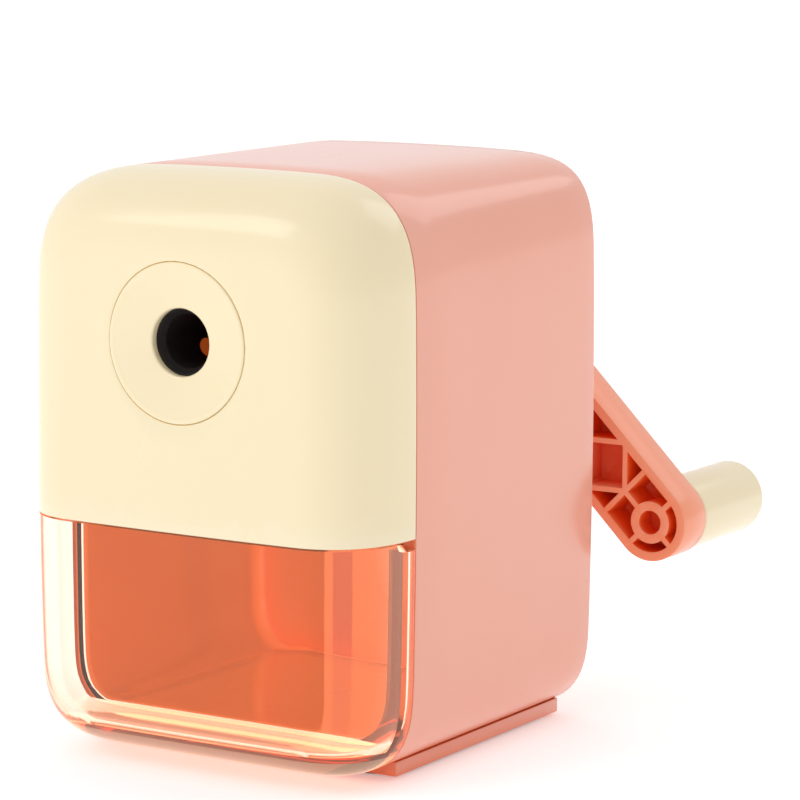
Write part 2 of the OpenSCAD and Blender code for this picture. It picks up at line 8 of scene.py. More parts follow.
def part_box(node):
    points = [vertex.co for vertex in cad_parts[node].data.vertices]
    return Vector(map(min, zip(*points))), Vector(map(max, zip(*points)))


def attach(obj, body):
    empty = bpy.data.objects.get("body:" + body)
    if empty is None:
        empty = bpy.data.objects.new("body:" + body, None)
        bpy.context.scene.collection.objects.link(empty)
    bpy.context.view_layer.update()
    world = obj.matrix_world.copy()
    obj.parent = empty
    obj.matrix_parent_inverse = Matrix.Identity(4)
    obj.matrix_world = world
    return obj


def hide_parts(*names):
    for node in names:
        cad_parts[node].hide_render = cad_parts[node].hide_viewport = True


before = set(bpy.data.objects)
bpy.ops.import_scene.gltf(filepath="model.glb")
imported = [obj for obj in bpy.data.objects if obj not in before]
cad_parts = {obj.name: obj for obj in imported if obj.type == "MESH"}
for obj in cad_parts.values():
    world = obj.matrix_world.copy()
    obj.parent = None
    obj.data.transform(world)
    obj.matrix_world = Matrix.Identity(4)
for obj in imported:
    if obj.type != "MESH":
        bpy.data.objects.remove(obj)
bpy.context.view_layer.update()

bl_info = {
    "name": "Pencil sharpener looks",
    "version": (1, 0, 0),
    "blender": (4, 5, 0),
    "location": "3D Viewport > Sidebar > Sharpener",
    "description": "Builds the visible pieces and finishes of a hand-crank pencil sharpener",
    "category": "Add Mesh",
}

MM = 0.001
SHELL_LOW, SHELL_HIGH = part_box("body_shell")
COVER_LOW, COVER_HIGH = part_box("front_cover")
DRAWER_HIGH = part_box("shavings_drawer")[1]
BEZEL_LOW, BEZEL_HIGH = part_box("hole_bezel")
GRIP_LOW, GRIP_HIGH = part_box("crank_grip")
CAP_LOW, CAP_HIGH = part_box("grip_cap")
BASE_LOW, BASE_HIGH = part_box("base_plate")

HALF_W = SHELL_HIGH.x
TOP, BOTTOM, BACK = SHELL_HIGH.z, SHELL_LOW.z, SHELL_HIGH.y
MID_Z, HALF_H = (TOP + BOTTOM) / 2, (TOP - BOTTOM) / 2
CAP_Y, SEAM_Z = COVER_HIGH.y, COVER_LOW.z
JOIN_Y = CAP_Y + 0.15 * MM
FRONT_DEPTH = CAP_Y - COVER_LOW.y
HOLE_Z = (BEZEL_LOW.z + BEZEL_HIGH.z) / 2
BEZEL_R = BEZEL_HIGH.x

SHELL_FLOOR = BOTTOM + 3.6 * MM
SHAFT_HOLE_R = 5.5 * MM
SCREW_R = 3.2 * MM
SCREW_X = HALF_W - 7.3 * MM
REAR_SCREW_Z = SEAM_Z + 7.5 * MM
LIP_REACH = 2.5 * MM
BORE_R = 8.2 * MM
PAD_R = 14.5 * MM
PAD_DEPTH = 3.6 * MM
BEZEL_T = 1.8 * MM
TUB_LOW, DRAWER_FLOOR = SEAM_Z - 33.7 * MM, SEAM_Z - 32.1 * MM
TUB_INSET, TUB_WALL, TUB_ROUND, TUB_INNER_ROUND = 2.8 * MM, 1.6 * MM, 3 * MM, 2.4 * MM
RIM_DROP, RIM_STEP = 1.4 * MM, 2.6 * MM
# Span across the housing of the painted shade band on the chamber's back wall
SHADE_BAND_LOW, SHADE_BAND_HIGH = -15.5 * MM, -10.2 * MM


def colour_property(name, description, default):
    return bpy.props.FloatVectorProperty(
        name=name, description=description, default=default, size=3, min=0, max=1, subtype="COLOR"
    )


def length_property(name, description, millimetres):
    return bpy.props.FloatProperty(
        name=name, description=description, default=millimetres * MM, min=0, unit="LENGTH", precision=5
    )


class HousingSettings(bpy.types.PropertyGroup):
    """Sizes of the housing's form"""

    top_corner: length_property("Top corner", "Reach of the rounded corners at the top", 21)
    low_corner: length_property("Low corner", "Reach of the rounded corners at the bottom", 16.5)
    side_bow: length_property("Side bow", "How far the sides swell at half height", 0.6)
    crown: length_property("Front crown", "How far the front swells at its middle", 1)
    front_round: length_property("Front rounding", "Reach of the rounding along the front's edge", 12.2)
    wall: length_property("Wall", "Wall of the mouldings", 2.4)
    edge: length_property("Edge break", "Rounding of the small edges", 0.3)


class FinishSettings(bpy.types.PropertyGroup):
    """Colours of the moulded plastics"""

    coral: colour_property("Coral", "Colour of the shell", (0.87, 0.40, 0.30))
    cream: colour_property("Cream", "Colour of the cover and the grip", (0.89, 0.76, 0.51))
    # The recess colours are painted shade: each finish turns to its recess colour where the ambient-occlusion
    # mask finds the surface shaded
    recess: colour_property("Coral recess", "Coral where it shades itself", (0.80, 0.19, 0.075))
    cream_recess: colour_property("Cream recess", "Cream where it shades itself", (0.86, 0.68, 0.36))
    crank: colour_property("Crank coral", "Colour of the crank arm and its cap", (0.95, 0.3, 0.145))
    # Painted shade for the crank arm's pockets
    crank_pocket_shade: colour_property("Crank recess", "Deeper coral in the arm's pockets", (0.95, 0.1, 0.01))
    black: colour_property("Black", "Colour of the inner frame", (0.006, 0.004, 0.003))
    tint: colour_property("Drawer tint", "Colour of light that crosses the clear drawer", (0.995, 0.54, 0.15))


# --- materials ---


class Value:
    """A number that varies over a surface, so that shader maths reads as plain expressions."""

    def __init__(self, finish, socket):
        self.finish = finish
        self.socket = socket

    def maths(self, operation, first, second):
        made = self.finish.node("ShaderNodeMath", {"operation": operation}, {0: first, 1: second})
        return Value(self.finish, made.outputs[0])

    def __add__(self, other):
        return self.maths("ADD", self, other)

    def __mul__(self, other):
        return self.maths("MULTIPLY", self, other)


class Finish:
    """A material and the nodes that make it."""

    def __init__(self, name):
        self.material = bpy.data.materials.new(name)
        self.material.use_nodes = True
        self.tree = self.material.node_tree
        self.tree.nodes.clear()
        self.output = self.tree.nodes.new("ShaderNodeOutputMaterial")
        around = self.node("ShaderNodeTexCoord")
        self.place, self.normal = around.outputs["Object"], around.outputs["Normal"]

    def node(self, kind, settings=None, sockets=None):
        """Adds a node with its settings, then the values or links of its sockets."""
        made = self.tree.nodes.new(kind)
        for key, value in (settings or {}).items():
            if key == "stops":
                ramp = made.color_ramp.elements
                while len(ramp) < len(value):
                    ramp.new(0.5)
                for stop, (position, level) in zip(ramp, value):
                    stop.position = position
                    stop.color = (level, level, level, 1)
            else:
                setattr(made, key, value)
        for key, value in (sockets or {}).items():
            if isinstance(value, Value):
                value = value.socket
            if isinstance(value, bpy.types.NodeSocket):
                self.tree.links.new(value, made.inputs[key])
            else:
                made.inputs[key].default_value = value
        return made

    def stretched(self, scale):
        """Coordinates drawn out along an axis."""
        return self.node(
            "ShaderNodeMapping", {"vector_type": "POINT"}, {"Vector": self.place, "Scale": scale}
        ).outputs["Vector"]

    def noise(self, scale, detail=3, roughness=0.5, place=None):
        made = self.node(
            "ShaderNodeTexNoise",
            {"noise_dimensions": "3D"},
            {"Vector": place or self.place, "Scale": scale, "Detail": detail, "Roughness": roughness},
        )
        return Value(self, made.outputs[0])

    def ramp(self, factor, stops):
        made = self.node("ShaderNodeValToRGB", {"stops": stops}, {0: factor})
        return Value(self, made.outputs["Color"])

    def edges(self, low=0.51, high=0.56):
        """A mask of the outer edges, where mouldings catch light and wear."""
        point = Value(self, self.node("ShaderNodeNewGeometry").outputs["Pointiness"])
        return self.ramp(point, [(low, 0), (high, 1)])

    def recess(self, reach, low=0.35, high=0.85):
        """A mask of the places that the piece and its neighbours shade."""
        made = self.node("ShaderNodeAmbientOcclusion", {"samples": 8}, {"Distance": reach})
        return self.ramp(Value(self, made.outputs["AO"]), [(low, 1), (high, 0)])

    def span(self, axis, low, high, of=None):
        """A mask of the part between two places along an axis, or between two slopes of its normal."""
        place = self.node("ShaderNodeSeparateXYZ", None, {0: of or self.place}).outputs[axis]
        inside = self.node(
            "ShaderNodeMath", {"operation": "COMPARE"}, {0: place, 1: (low + high) / 2, 2: (high - low) / 2}
        )
        return Value(self, inside.outputs[0])

    def facing(self, centre):
        """A mask of the surfaces that look toward a place."""
        away = self.node("ShaderNodeVectorMath", {"operation": "SUBTRACT"}, {0: self.place, 1: centre})
        turned = self.node(
            "ShaderNodeVectorMath", {"operation": "DOT_PRODUCT"}, {0: away.outputs[0], 1: self.normal}
        )
        mask = self.node("ShaderNodeMath", {"operation": "LESS_THAN"}, {0: turned.outputs["Value"], 1: 0.0})
        return Value(self, mask.outputs[0])

    def near(self, centre, reach):
        """A mask of the surface within reach of a place."""
        gap = self.node("ShaderNodeVectorMath", {"operation": "DISTANCE"}, {0: self.place, 1: centre})
        return self.ramp(Value(self, gap.outputs["Value"]) * (0.5 / reach), [(0.47, 1), (0.5, 0)])

    def blend(self, factor, first, second):
        made = self.node("ShaderNodeMix", {"data_type": "RGBA"}, {0: factor, 6: first, 7: second})
        return made.outputs[2]

    def bump(self, height, distance, strength, under=None):
        sockets = {"Height": height, "Distance": distance, "Strength": strength}
        if under is not None:
            sockets["Normal"] = under
        return self.node("ShaderNodeBump", None, sockets).outputs["Normal"]

    def surface(self, sockets, volume=None):
        shader = self.node("ShaderNodeBsdfPrincipled", None, sockets)
        self.tree.links.new(shader.outputs[0], self.output.inputs["Surface"])
        if volume is not None:
            self.tree.links.new(volume.outputs[0], self.output.inputs["Volume"])
        return self.material


def rgb(colour, factor=1.0):
    return (*[min(1.0, c * factor) for c in colour], 1.0)


def painted_chamber_glow(f, colour, corner_shade, band_shade):
    """Painted light: an emission colour inside the shavings chamber that stands in for light soaking through
    the thin walls, with painted shade in its corners, toward its back wall and in an upright band on that
    wall.
    """
    chamber = f.facing((0, 10 * MM, SEAM_Z * 0.6)) * f.span(2, BOTTOM + 3.3 * MM, SEAM_Z + 4 * MM)
    chamber = chamber * f.span(1, JOIN_Y - 2.6 * MM, BACK - 0.5 * MM)
    behind = f.span(1, BACK - 3.2 * MM, BACK)
    # Painted shade: the chamber's light turns to the corner colour where the ambient-occlusion mask finds a
    # recess and near the back wall
    lit = f.blend(f.recess(5 * MM, 0.15, 0.7) * 0.6 + behind * 0.4, rgb(colour), rgb(corner_shade))
    # Painted shade: a darker upright band on the back wall, colour only with no shape under it
    lit = f.blend(behind * f.span(0, SHADE_BAND_LOW, SHADE_BAND_HIGH), lit, rgb(band_shade))
    return f.blend(chamber, (0, 0, 0, 1), lit)


def scaled(colour, *factors):
    """A colour with each channel multiplied by its own factor."""
    return [c * k for c, k in zip(colour, factors)]


def gloss_finish(name, colour, deep, shaded, roughness, glow=None):
    """Gloss moulded plastic: faint flow mottling, a soft orange-peel skin, lighter worn edges, painted shade
    in its recesses and, when given, painted light in the shavings chamber.
    """
    f = Finish(name)
    flow = f.noise(34, 4, 0.55, f.stretched((1, 1, 0.45)))
    cloud = f.noise(9, 2)
    fine = f.noise(2600, 2, 0.6)
    peel = f.noise(420, 2)
    scuffs = f.ramp(f.noise(240, 5, 0.7, f.stretched((1, 0.25, 1))), [(0.60, 0), (0.74, 1)])
    mottle = f.ramp(flow * 0.6 + cloud * 0.4, [(0.36, 0), (0.64, 1)])
    base = f.blend(mottle * 0.5, rgb(colour), rgb(deep))
    base = f.blend(f.ramp(fine, [(0.66, 0), (0.8, 1)]) * 0.02, base, rgb(deep, 0.6))
    base = f.blend(f.edges() * 0.3, base, rgb([c + 0.25 * (1 - c) for c in colour]))
    # Painted shade: the colour turns to the shaded colour where the ambient-occlusion mask finds a recess
    base = f.blend(f.recess(6 * MM), base, rgb(shaded))
    skin = f.bump(peel, 0.00002, 0.35)
    skin = f.bump(fine, 0.000006, 0.5, skin)
    sockets = {
        "Base Color": base,
        "Roughness": flow * 0.06 + scuffs * 0.07 + roughness,
        "Normal": skin,
        "IOR": 1.5,
    }
    # Painted light: an emission colour lights the inside of the shavings chamber
    if glow:
        sockets.update({"Emission Color": painted_chamber_glow(f, *glow), "Emission Strength": 1.0})
    return f.surface(sockets)


def clear_finish(name, tint):
    """Clear plastic with a warm tint through its thickness, faint handling scratches, and painted light on
    the rounded sides and bottom border of its front.
    """
    f = Finish(name)
    scratch = f.ramp(f.noise(520, 5, 0.75, f.stretched((1, 0.12, 0.6))), [(0.66, 0), (0.78, 1)])
    haze = f.noise(60, 3)
    volume = f.node("ShaderNodeVolumeAbsorption", None, {"Color": rgb(tint), "Density": 58})
    front = f.span(1, COVER_LOW.y, CAP_Y)
    # Painted light: an emission colour on the rounded sides of the drawer's front, brighter along its bottom
    # border
    edge = f.span(2, BOTTOM - MM, BOTTOM + 4.2 * MM) * front
    rim = f.span(1, -0.9, 0.9, f.normal) * front
    glow = f.blend(rim, (0, 0, 0, 1), (0.16, 0.048, 0.026, 1))
    return f.surface(
        {
            "Base Color": f.blend(haze * 0.3, (1, 0.985, 0.97, 1), (1, 0.965, 0.94, 1)),
            "Roughness": scratch * 0.05 + 0.015,
            "Transmission Weight": 1.0,
            "IOR": 1.42,
            "Specular IOR Level": 0.25,
            "Specular Tint": (1, 0.8, 0.7, 1),
            "Emission Color": f.blend(edge, glow, (0.36, 0.2, 0.13, 1)),
            "Emission Strength": 1.0,
            "Normal": f.bump(f.noise(140, 2), 0.00003, 0.25),
        },
        volume,
    )


def matt_finish(name, colour, light, grain, roughness, depth=0.00003, painted_spot=None):
    """Matt moulded plastic or rubber with a fine grain, dusty high spots and, when given, a painted patch of
    light.
    """
    f = Finish(name)
    skin = f.noise(grain, 4, 0.65)
    cells = f.node("ShaderNodeTexVoronoi", None, {"Vector": f.place, "Scale": grain * 0.6})
    pits = Value(f, cells.outputs["Distance"])
    dust = f.ramp(f.noise(90, 4, 0.6), [(0.5, 0), (0.75, 1)])
    base = f.blend(f.ramp(skin, [(0.4, 0), (0.7, 1)]) * 0.5, rgb(colour), rgb(light))
    base = f.blend(dust * 0.25 + f.edges() * 0.3, base, rgb(light, 1.4))
    sockets = {
        "Base Color": base,
        "Roughness": skin * 0.15 + dust * 0.08 + roughness,
        "Normal": f.bump(skin * 0.6 + pits * 0.4, depth, 0.7),
        "Specular IOR Level": 0.2,
    }
    # Painted light: an emission patch round a given place
    if painted_spot:
        place, reach, colour = painted_spot
        painted_patch = f.blend(f.near(place, reach), (0, 0, 0, 1), rgb(colour))
        sockets.update({"Emission Color": painted_patch, "Emission Strength": 1.0})
    return f.surface(sockets)


def turned_metal_finish(name, colour, dull, roughness, drawn):
    """Turned metal: fine tool lines round the axis, stains and brighter edges."""
    f = Finish(name)
    lines = f.noise(900, 4, 0.6, f.stretched(drawn))
    stain = f.ramp(f.noise(120, 4, 0.6), [(0.45, 0), (0.7, 1)])
    base = f.blend(lines * 0.5 + stain * 0.3, rgb(colour), rgb(dull))
    base = f.blend(f.edges() * 0.5, base, rgb(colour, 1.25))
    return f.surface(
        {
            "Base Color": base,
            "Metallic": 1.0,
            "Roughness": lines * 0.16 + stain * 0.12 + roughness,
            "Normal": f.bump(lines, 0.00002, 0.4),
        }
    )


def floor_finish(name):
    """Pale matt studio floor."""
    f = Finish(name)
    grain = f.noise(300, 3)
    return f.surface(
        {
            "Base Color": f.blend(grain * 0.2, (0.93, 0.95, 0.96, 1), (0.9, 0.92, 0.93, 1)),
            "Roughness": grain * 0.05 + 0.9,
            "Specular IOR Level": 0.0,
            "Emission Color": (1, 1, 1, 1),
            "Emission Strength": 0.3,
        }
    )


def finishes():
    """The materials by name, made on first use."""
    if not FINISHES:
        chosen = bpy.context.scene.sharpener_finish
        coral, cream, crank = chosen.coral, chosen.cream, chosen.crank
        FINISHES.update(
            coral=gloss_finish(
                "coral_gloss", coral, scaled(coral, 0.985, 0.93, 0.9), chosen.recess, 0.13, CHAMBER_GLOW_PAINT
            ),
            crank=gloss_finish(
                "crank_coral", crank, scaled(crank, 0.985, 0.9, 0.85), chosen.crank_pocket_shade, 0.2
            ),
            cream=gloss_finish(
                "cream_gloss", cream, scaled(cream, 0.985, 0.965, 0.92), chosen.cream_recess, 0.16
            ),
            clear=clear_finish("clear_tint", chosen.tint),
            black=matt_finish(
                "frame_black", chosen.black, (0.022, 0.019, 0.018), 1500, 0.5, painted_spot=PAINTED_GUIDE_PATCH
            ),
            carrier=matt_finish("carrier_coral", (0.45, 0.11, 0.04), (0.6, 0.2, 0.1), 1200, 0.38),
            rubber=matt_finish("foot_rubber", (0.02, 0.02, 0.02), (0.07, 0.07, 0.068), 2200, 0.7, 0.00005),
            steel=turned_metal_finish("turned_steel", (0.6, 0.6, 0.61), (0.36, 0.36, 0.37), 0.22, TOOL_LINES),
            brass=turned_metal_finish("turned_brass", (0.83, 0.6, 0.27), (0.5, 0.33, 0.13), 0.25, TOOL_LINES),
        )
    return FINISHES


FINISHES = {}
TOOL_LINES = (0.2, 3, 0.2)
# Colours of the painted light in the chamber: open walls, painted shade in corners and toward the back wall,
# and a painted darker band on its back wall
CHAMBER_GLOW_PAINT = ((0.6, 0.16, 0.034), (0.4, 0.07, 0.008), (0.2, 0.015, 0.001))
# Place, reach and colour of the painted patch of light at the end of the pencil guide: an emission colour on
# the guide's wall, not a shaped opening
PAINTED_GUIDE_PATCH = ((-3.2 * MM, -30.6 * MM, HOLE_Z - 2.8 * MM), 2.1 * MM, (0.24, 0.04, 0.005))


# --- modelling helpers ---


def corner(reach, turn, power=3.2):
    """A point of a rounded corner, from its side at turn 0 to its top at turn 1."""
    angle = turn * math.pi / 2
    return reach * math.cos(angle) ** (2 / power), reach * math.sin(angle) ** (2 / power)


def outline(inset=0.0, floor=None, back=0.0):
    """Closed outline (x, z) of the housing, inset all round, counted from the middle of its bottom.
    Its top corners grow squarer as back goes from 0 to 1."""
    form = bpy.context.scene.sharpener_housing
    wide, low, high = HALF_W - inset, BOTTOM + inset, TOP - inset
    top, bottom = max(form.top_corner - inset, MM), max(form.low_corner - inset, MM)
    half = [((wide - bottom) * k / 6, low) for k in range(6)]
    for k in range(15):
        x, z = corner(bottom, 1 - k / 14)
        half.append((wide - bottom + x, low + bottom - z))
    rise = high - top - low - bottom
    half += [(wide, low + bottom + rise * k / 14) for k in range(1, 14)]
    for k in range(17):
        x, z = corner(top, k / 16, 3.2 + back)
        half.append((wide - top + x, high - top + z))
    half += [((wide - top) * (1 - k / 6), high) for k in range(1, 6)]
    loop = half + [(0.0, high)] + [(-x, z) for x, z in half[:0:-1]]
    shaped = []
    for x, z in loop:
        up = (z - MID_Z) / HALF_H
        side = x / HALF_W
        x -= math.copysign(form.side_bow, x) * up * up * min(1, abs(side) * 2) if x else 0
        z -= 0.6 * MM * side * side * max(0, up)
        shaped.append((x, z if floor is None else max(z, floor)))
    return shaped


def circle(radius, around):
    """Points of a circle round the pencil hole, each in line with a point of another outline."""
    points = []
    for x, z in around:
        away = Vector((x, z - HOLE_Z)).normalized() * radius
        points.append((away.x, HOLE_Z + away.y))
    return points


def toward(first, second, share):
    return [(a + (c - a) * share, b + (d - b) * share) for (a, b), (c, d) in zip(first, second)]


def at(points, y):
    """An outline set at a depth, which can be a number or a function of x and z."""
    return [Vector((x, y(x, z) if callable(y) else y, z)) for x, z in points]


def front_depth(x, z, share=1.0, thickness=0.0):
    """Depth of the front form at a place, for a share of its full depth."""
    form = bpy.context.scene.sharpener_housing
    middle = 1 - min(1, abs(x) / HALF_W) ** 2
    low = min(1, max(0, (SEAM_Z - z) / (SEAM_Z - BOTTOM)))
    full = FRONT_DEPTH - thickness - 0.05 * MM - form.crown * (1 - middle)
    return CAP_Y - share * full * (1 - 0.06 * low * low)


FRONT_STEPS = (
    0, 0.04, 0.1, 0.17, 0.25, 0.34, 0.43, 0.52, 0.6, 0.67, 0.73, 0.785, 0.83, 0.87, 0.9,
    0.925, 0.945, 0.962, 0.975, 0.985, 0.992, 0.9965, 0.999, 1,
)


def front_rings(thickness=0.0, steps=FRONT_STEPS, floor=None):
    """Rings of the housing's rounded front, from its rim to where its face starts."""
    reach = bpy.context.scene.sharpener_housing.front_round - thickness
    rings = []
    for share in steps:
        inset = reach * (1 - (1 - share**2.4) ** (1 / 2.4))
        points = outline(thickness + inset, floor)
        rings.append(at(points, lambda x, z, s=share: front_depth(x, z, s, thickness)))
    return rings


def steps_past(depth, thickness=0.0):
    """The front's steps from its face back, with a sharp pair at a depth and none nearer the rim."""
    share = depth / (FRONT_DEPTH - thickness)
    kept = [s for s in FRONT_STEPS if s > share + 0.03]
    return [share - 0.001, share + 0.001] + kept


def loft(bm, rings):
    """A grid laid over rings of points, closed round each ring."""
    count = len(rings[0])
    made = bmesh.ops.create_grid(bm, x_segments=count, y_segments=len(rings) - 1, size=1)
    for vert in made["verts"]:
        i = round((vert.co.x + 1) / 2 * count) % count
        j = round((vert.co.y + 1) / 2 * (len(rings) - 1))
        vert.co = rings[j][i]


def spun(bm, profile, centre, steps):
    """A profile of (radius, depth) points spun round a line along Y through the centre."""
    verts = [bm.verts.new(Vector(centre) + Vector((r, y, 0))) for r, y in profile]
    edges = [bm.edges.new(pair) for pair in zip(verts, verts[1:])]
    bmesh.ops.spin(
        bm, geom=verts + edges, cent=centre, axis=(0, 1, 0), angle=math.tau, steps=steps, use_merge=True
    )


def rounded_profile(points, radii, steps=5):
    """A profile whose corners are rounded, each by its own radius."""
    out = [points[0]]
    for before, here, after, radius in zip(points, points[1:], points[2:], radii):
        here, into = Vector(here), Vector(before) - Vector(here)
        away = Vector(after) - here
        cut = min(radius, into.length * 0.49, away.length * 0.49)
        if cut <= 0:
            out.append(tuple(here))
            continue
        start, end = here + into.normalized() * cut, here + away.normalized() * cut
        for k in range(steps + 1):
            t = k / steps
            out.append(tuple(start * (1 - t) ** 2 + here * 2 * t * (1 - t) + end * t * t))
    out.append(points[-1])
    return out


def finished(bm, name, finish, body, replaces, sharp=35, merge=True):
    """Makes the piece's object, gives it its finish and ties it to its body."""
    if merge:
        bmesh.ops.remove_doubles(bm, verts=bm.verts, dist=0.002 * MM)
        bmesh.ops.dissolve_degenerate(bm, dist=0.001 * MM, edges=bm.edges)
    bmesh.ops.recalc_face_normals(bm, faces=bm.faces)
    for face in bm.faces:
        face.smooth = True
    mesh = bpy.data.meshes.new(name)
    bm.to_mesh(mesh)
    bm.free()
    mesh.set_sharp_from_angle(angle=math.radians(sharp))
    piece = bpy.data.objects.new(name, mesh)
    bpy.context.scene.collection.objects.link(piece)
    piece.data.materials.append(finishes()[finish])
    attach(piece, body)
    if replaces:
        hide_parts(*replaces)
    return piece


def carve(piece, tool_bm):
    """Cuts the tool's closed shapes out of the piece, and drops the tool."""
    mesh = bpy.data.meshes.new("carving_tool")
    bmesh.ops.recalc_face_normals(tool_bm, faces=tool_bm.faces)
    tool_bm.to_mesh(mesh)
    tool_bm.free()
    tool = bpy.data.objects.new("carving_tool", mesh)
    bpy.context.scene.collection.objects.link(tool)
    cut = piece.modifiers.new("carve", "BOOLEAN")
    cut.operation = "DIFFERENCE"
    cut.solver = "EXACT"
    cut.object = tool
    bpy.context.view_layer.update()
    made = bpy.data.meshes.new_from_object(piece.evaluated_get(bpy.context.evaluated_depsgraph_get()))
    piece.modifiers.clear()
    old = piece.data
    piece.data = made
    bpy.data.meshes.remove(old)
    bpy.data.objects.remove(tool)


def softened(node, name, width, finish, body):
    """A copy of a CAD node with its sharp edges broken."""
    bm = bmesh.new()
    bm.from_mesh(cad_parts[node].data)
    bmesh.ops.remove_doubles(bm, verts=bm.verts, dist=0.003 * MM)
    bmesh.ops.dissolve_limit(
        bm, angle_limit=math.radians(1.5), verts=bm.verts, edges=bm.edges, delimit={"NORMAL"}
    )
    limit = math.radians(32)
    sharp = [e for e in bm.edges if len(e.link_faces) == 2 and e.calc_face_angle(0) > limit]
    bmesh.ops.bevel(
        bm, geom=sharp, offset=width, offset_type="OFFSET", affect="EDGES", segments=2,
        profile=0.5, material=-1, clamp_overlap=True,
    )
    bmesh.ops.triangulate(bm, faces=[f for f in bm.faces if len(f.verts) > 4])
    return finished(bm, name, finish, body, [node], 40, merge=False)


def tube(bm, radius, start, end, x, z):
    """A closed cylinder along Y."""
    bmesh.ops.create_cone(
        bm, cap_ends=True, segments=40, radius1=radius, radius2=radius, depth=end - start,
        matrix=Matrix.Translation((x, (start + end) / 2, z)) @ Matrix.Rotation(math.pi / 2, 4, "X"),
    )


# --- pieces ---


class ShellOperator(bpy.types.Operator):
    """Moulds the coral rear shell"""

    bl_idname = "sharpener.shell"
    bl_label = "Rear shell"

    def execute(self, context):
        form = context.scene.sharpener_housing
        wall, edge = form.wall, form.edge
        inner = outline(wall, SHELL_FLOOR)
        hole = circle(SHAFT_HOLE_R, outline(13 * MM))
        lip = outline(wall / 2 + 0.1 * MM, SHELL_FLOOR)
        lip_start = SEAM_Z + wall + 0.1 * MM

        def lip_y(x, z):
            return JOIN_Y - LIP_REACH * min(1, max(0, (z - lip_start) / (0.5 * MM)))

        back, inner_back = BACK, BACK - wall
        face = outline(edge * 2, back=1)
        rings = [at(toward(hole, face, s), back) for s in (0, 0.25, 0.5, 0.75, 1)]
        for k in range(1, 6):
            a = k / 5 * math.pi / 2
            rounded = outline(2 * edge * (1 - math.sin(a)), back=1)
            rings.append(at(rounded, back - 2 * edge * (1 - math.cos(a))))
        for s in (0.1, 0.25, 0.4, 0.55, 0.7, 0.85, 1):
            rings.append(at(outline(back=1 - s), back + (JOIN_Y + edge - back) * s))
        rings += [at(outline(edge * 0.3), JOIN_Y + edge * 0.3), at(outline(edge), JOIN_Y)]
        rings += [at(lip, JOIN_Y), at(lip, lip_y), at(inner, lip_y)]
        rings += [at(inner, JOIN_Y + (inner_back - JOIN_Y) * s) for s in (0.02, 0.25, 0.5, 0.75, 0.98, 1)]
        rings += [at(toward(inner, hole, s), inner_back) for s in (0.25, 0.5, 0.75, 1)]
        rings.append(at(hole, back))
        bm = bmesh.new()
        loft(bm, rings)
        bmesh.ops.remove_doubles(bm, verts=bm.verts, dist=0.002 * MM)
        shell = finished(bm, "rear_shell", "coral", "housing", ["body_shell"])
        tool = bmesh.new()
        made = bmesh.ops.create_cube(tool, size=1)["verts"]
        size = BASE_HIGH - BASE_LOW + Vector((0.3, 0.3, 0)) * MM
        bmesh.ops.scale(tool, vec=(size.x, size.y, 4 * MM), verts=made)
        centre = (BASE_LOW + BASE_HIGH) / 2
        bmesh.ops.translate(tool, vec=(centre.x, centre.y, BASE_HIGH.z + 0.15 * MM - 2 * MM), verts=made)
        upright = [e for e in tool.edges if abs((e.verts[0].co - e.verts[1].co).z) > MM]
        bmesh.ops.bevel(
            tool, geom=upright, offset=6 * MM, offset_type="OFFSET", affect="EDGES", segments=8,
            profile=0.5, material=-1,
        )
        for side in (-1, 1):
            tube(tool, SCREW_R, BACK - 2.2 * MM, BACK + MM, side * SCREW_X, REAR_SCREW_Z)
        carve(shell, tool)
        shell.data.set_sharp_from_angle(angle=math.radians(35))
        return {"FINISHED"}


class FloorBossOperator(bpy.types.Operator):
    """Moulds the low round bosses on the shell's floor"""

    bl_idname = "sharpener.floor_bosses"
    bl_label = "Floor bosses"

    def execute(self, context):
        bm = bmesh.new()
        low, high = BOTTOM + 3.5 * MM, BOTTOM + 3.85 * MM
        profile = [(0, high - 0.3 * MM), (1.6 * MM, high - 0.3 * MM), (2.1 * MM, high), (3.3 * MM, high),
                   (3.8 * MM, low + 0.1 * MM), (3.8 * MM, low), (0, low)]
        for y in (10.5, 28.5, 46.5):
            centre = Vector((0, JOIN_Y + y * MM, 0))
            verts = [bm.verts.new(centre + Vector((r, 0, z))) for r, z in profile]
            edges = [bm.edges.new(pair) for pair in zip(verts, verts[1:])]
            bmesh.ops.spin(bm, geom=verts + edges, cent=centre, axis=(0, 0, 1), angle=math.tau,
                           steps=48, use_merge=True)
        finished(bm, "floor_bosses", "coral", "housing", [])
        return {"FINISHED"}


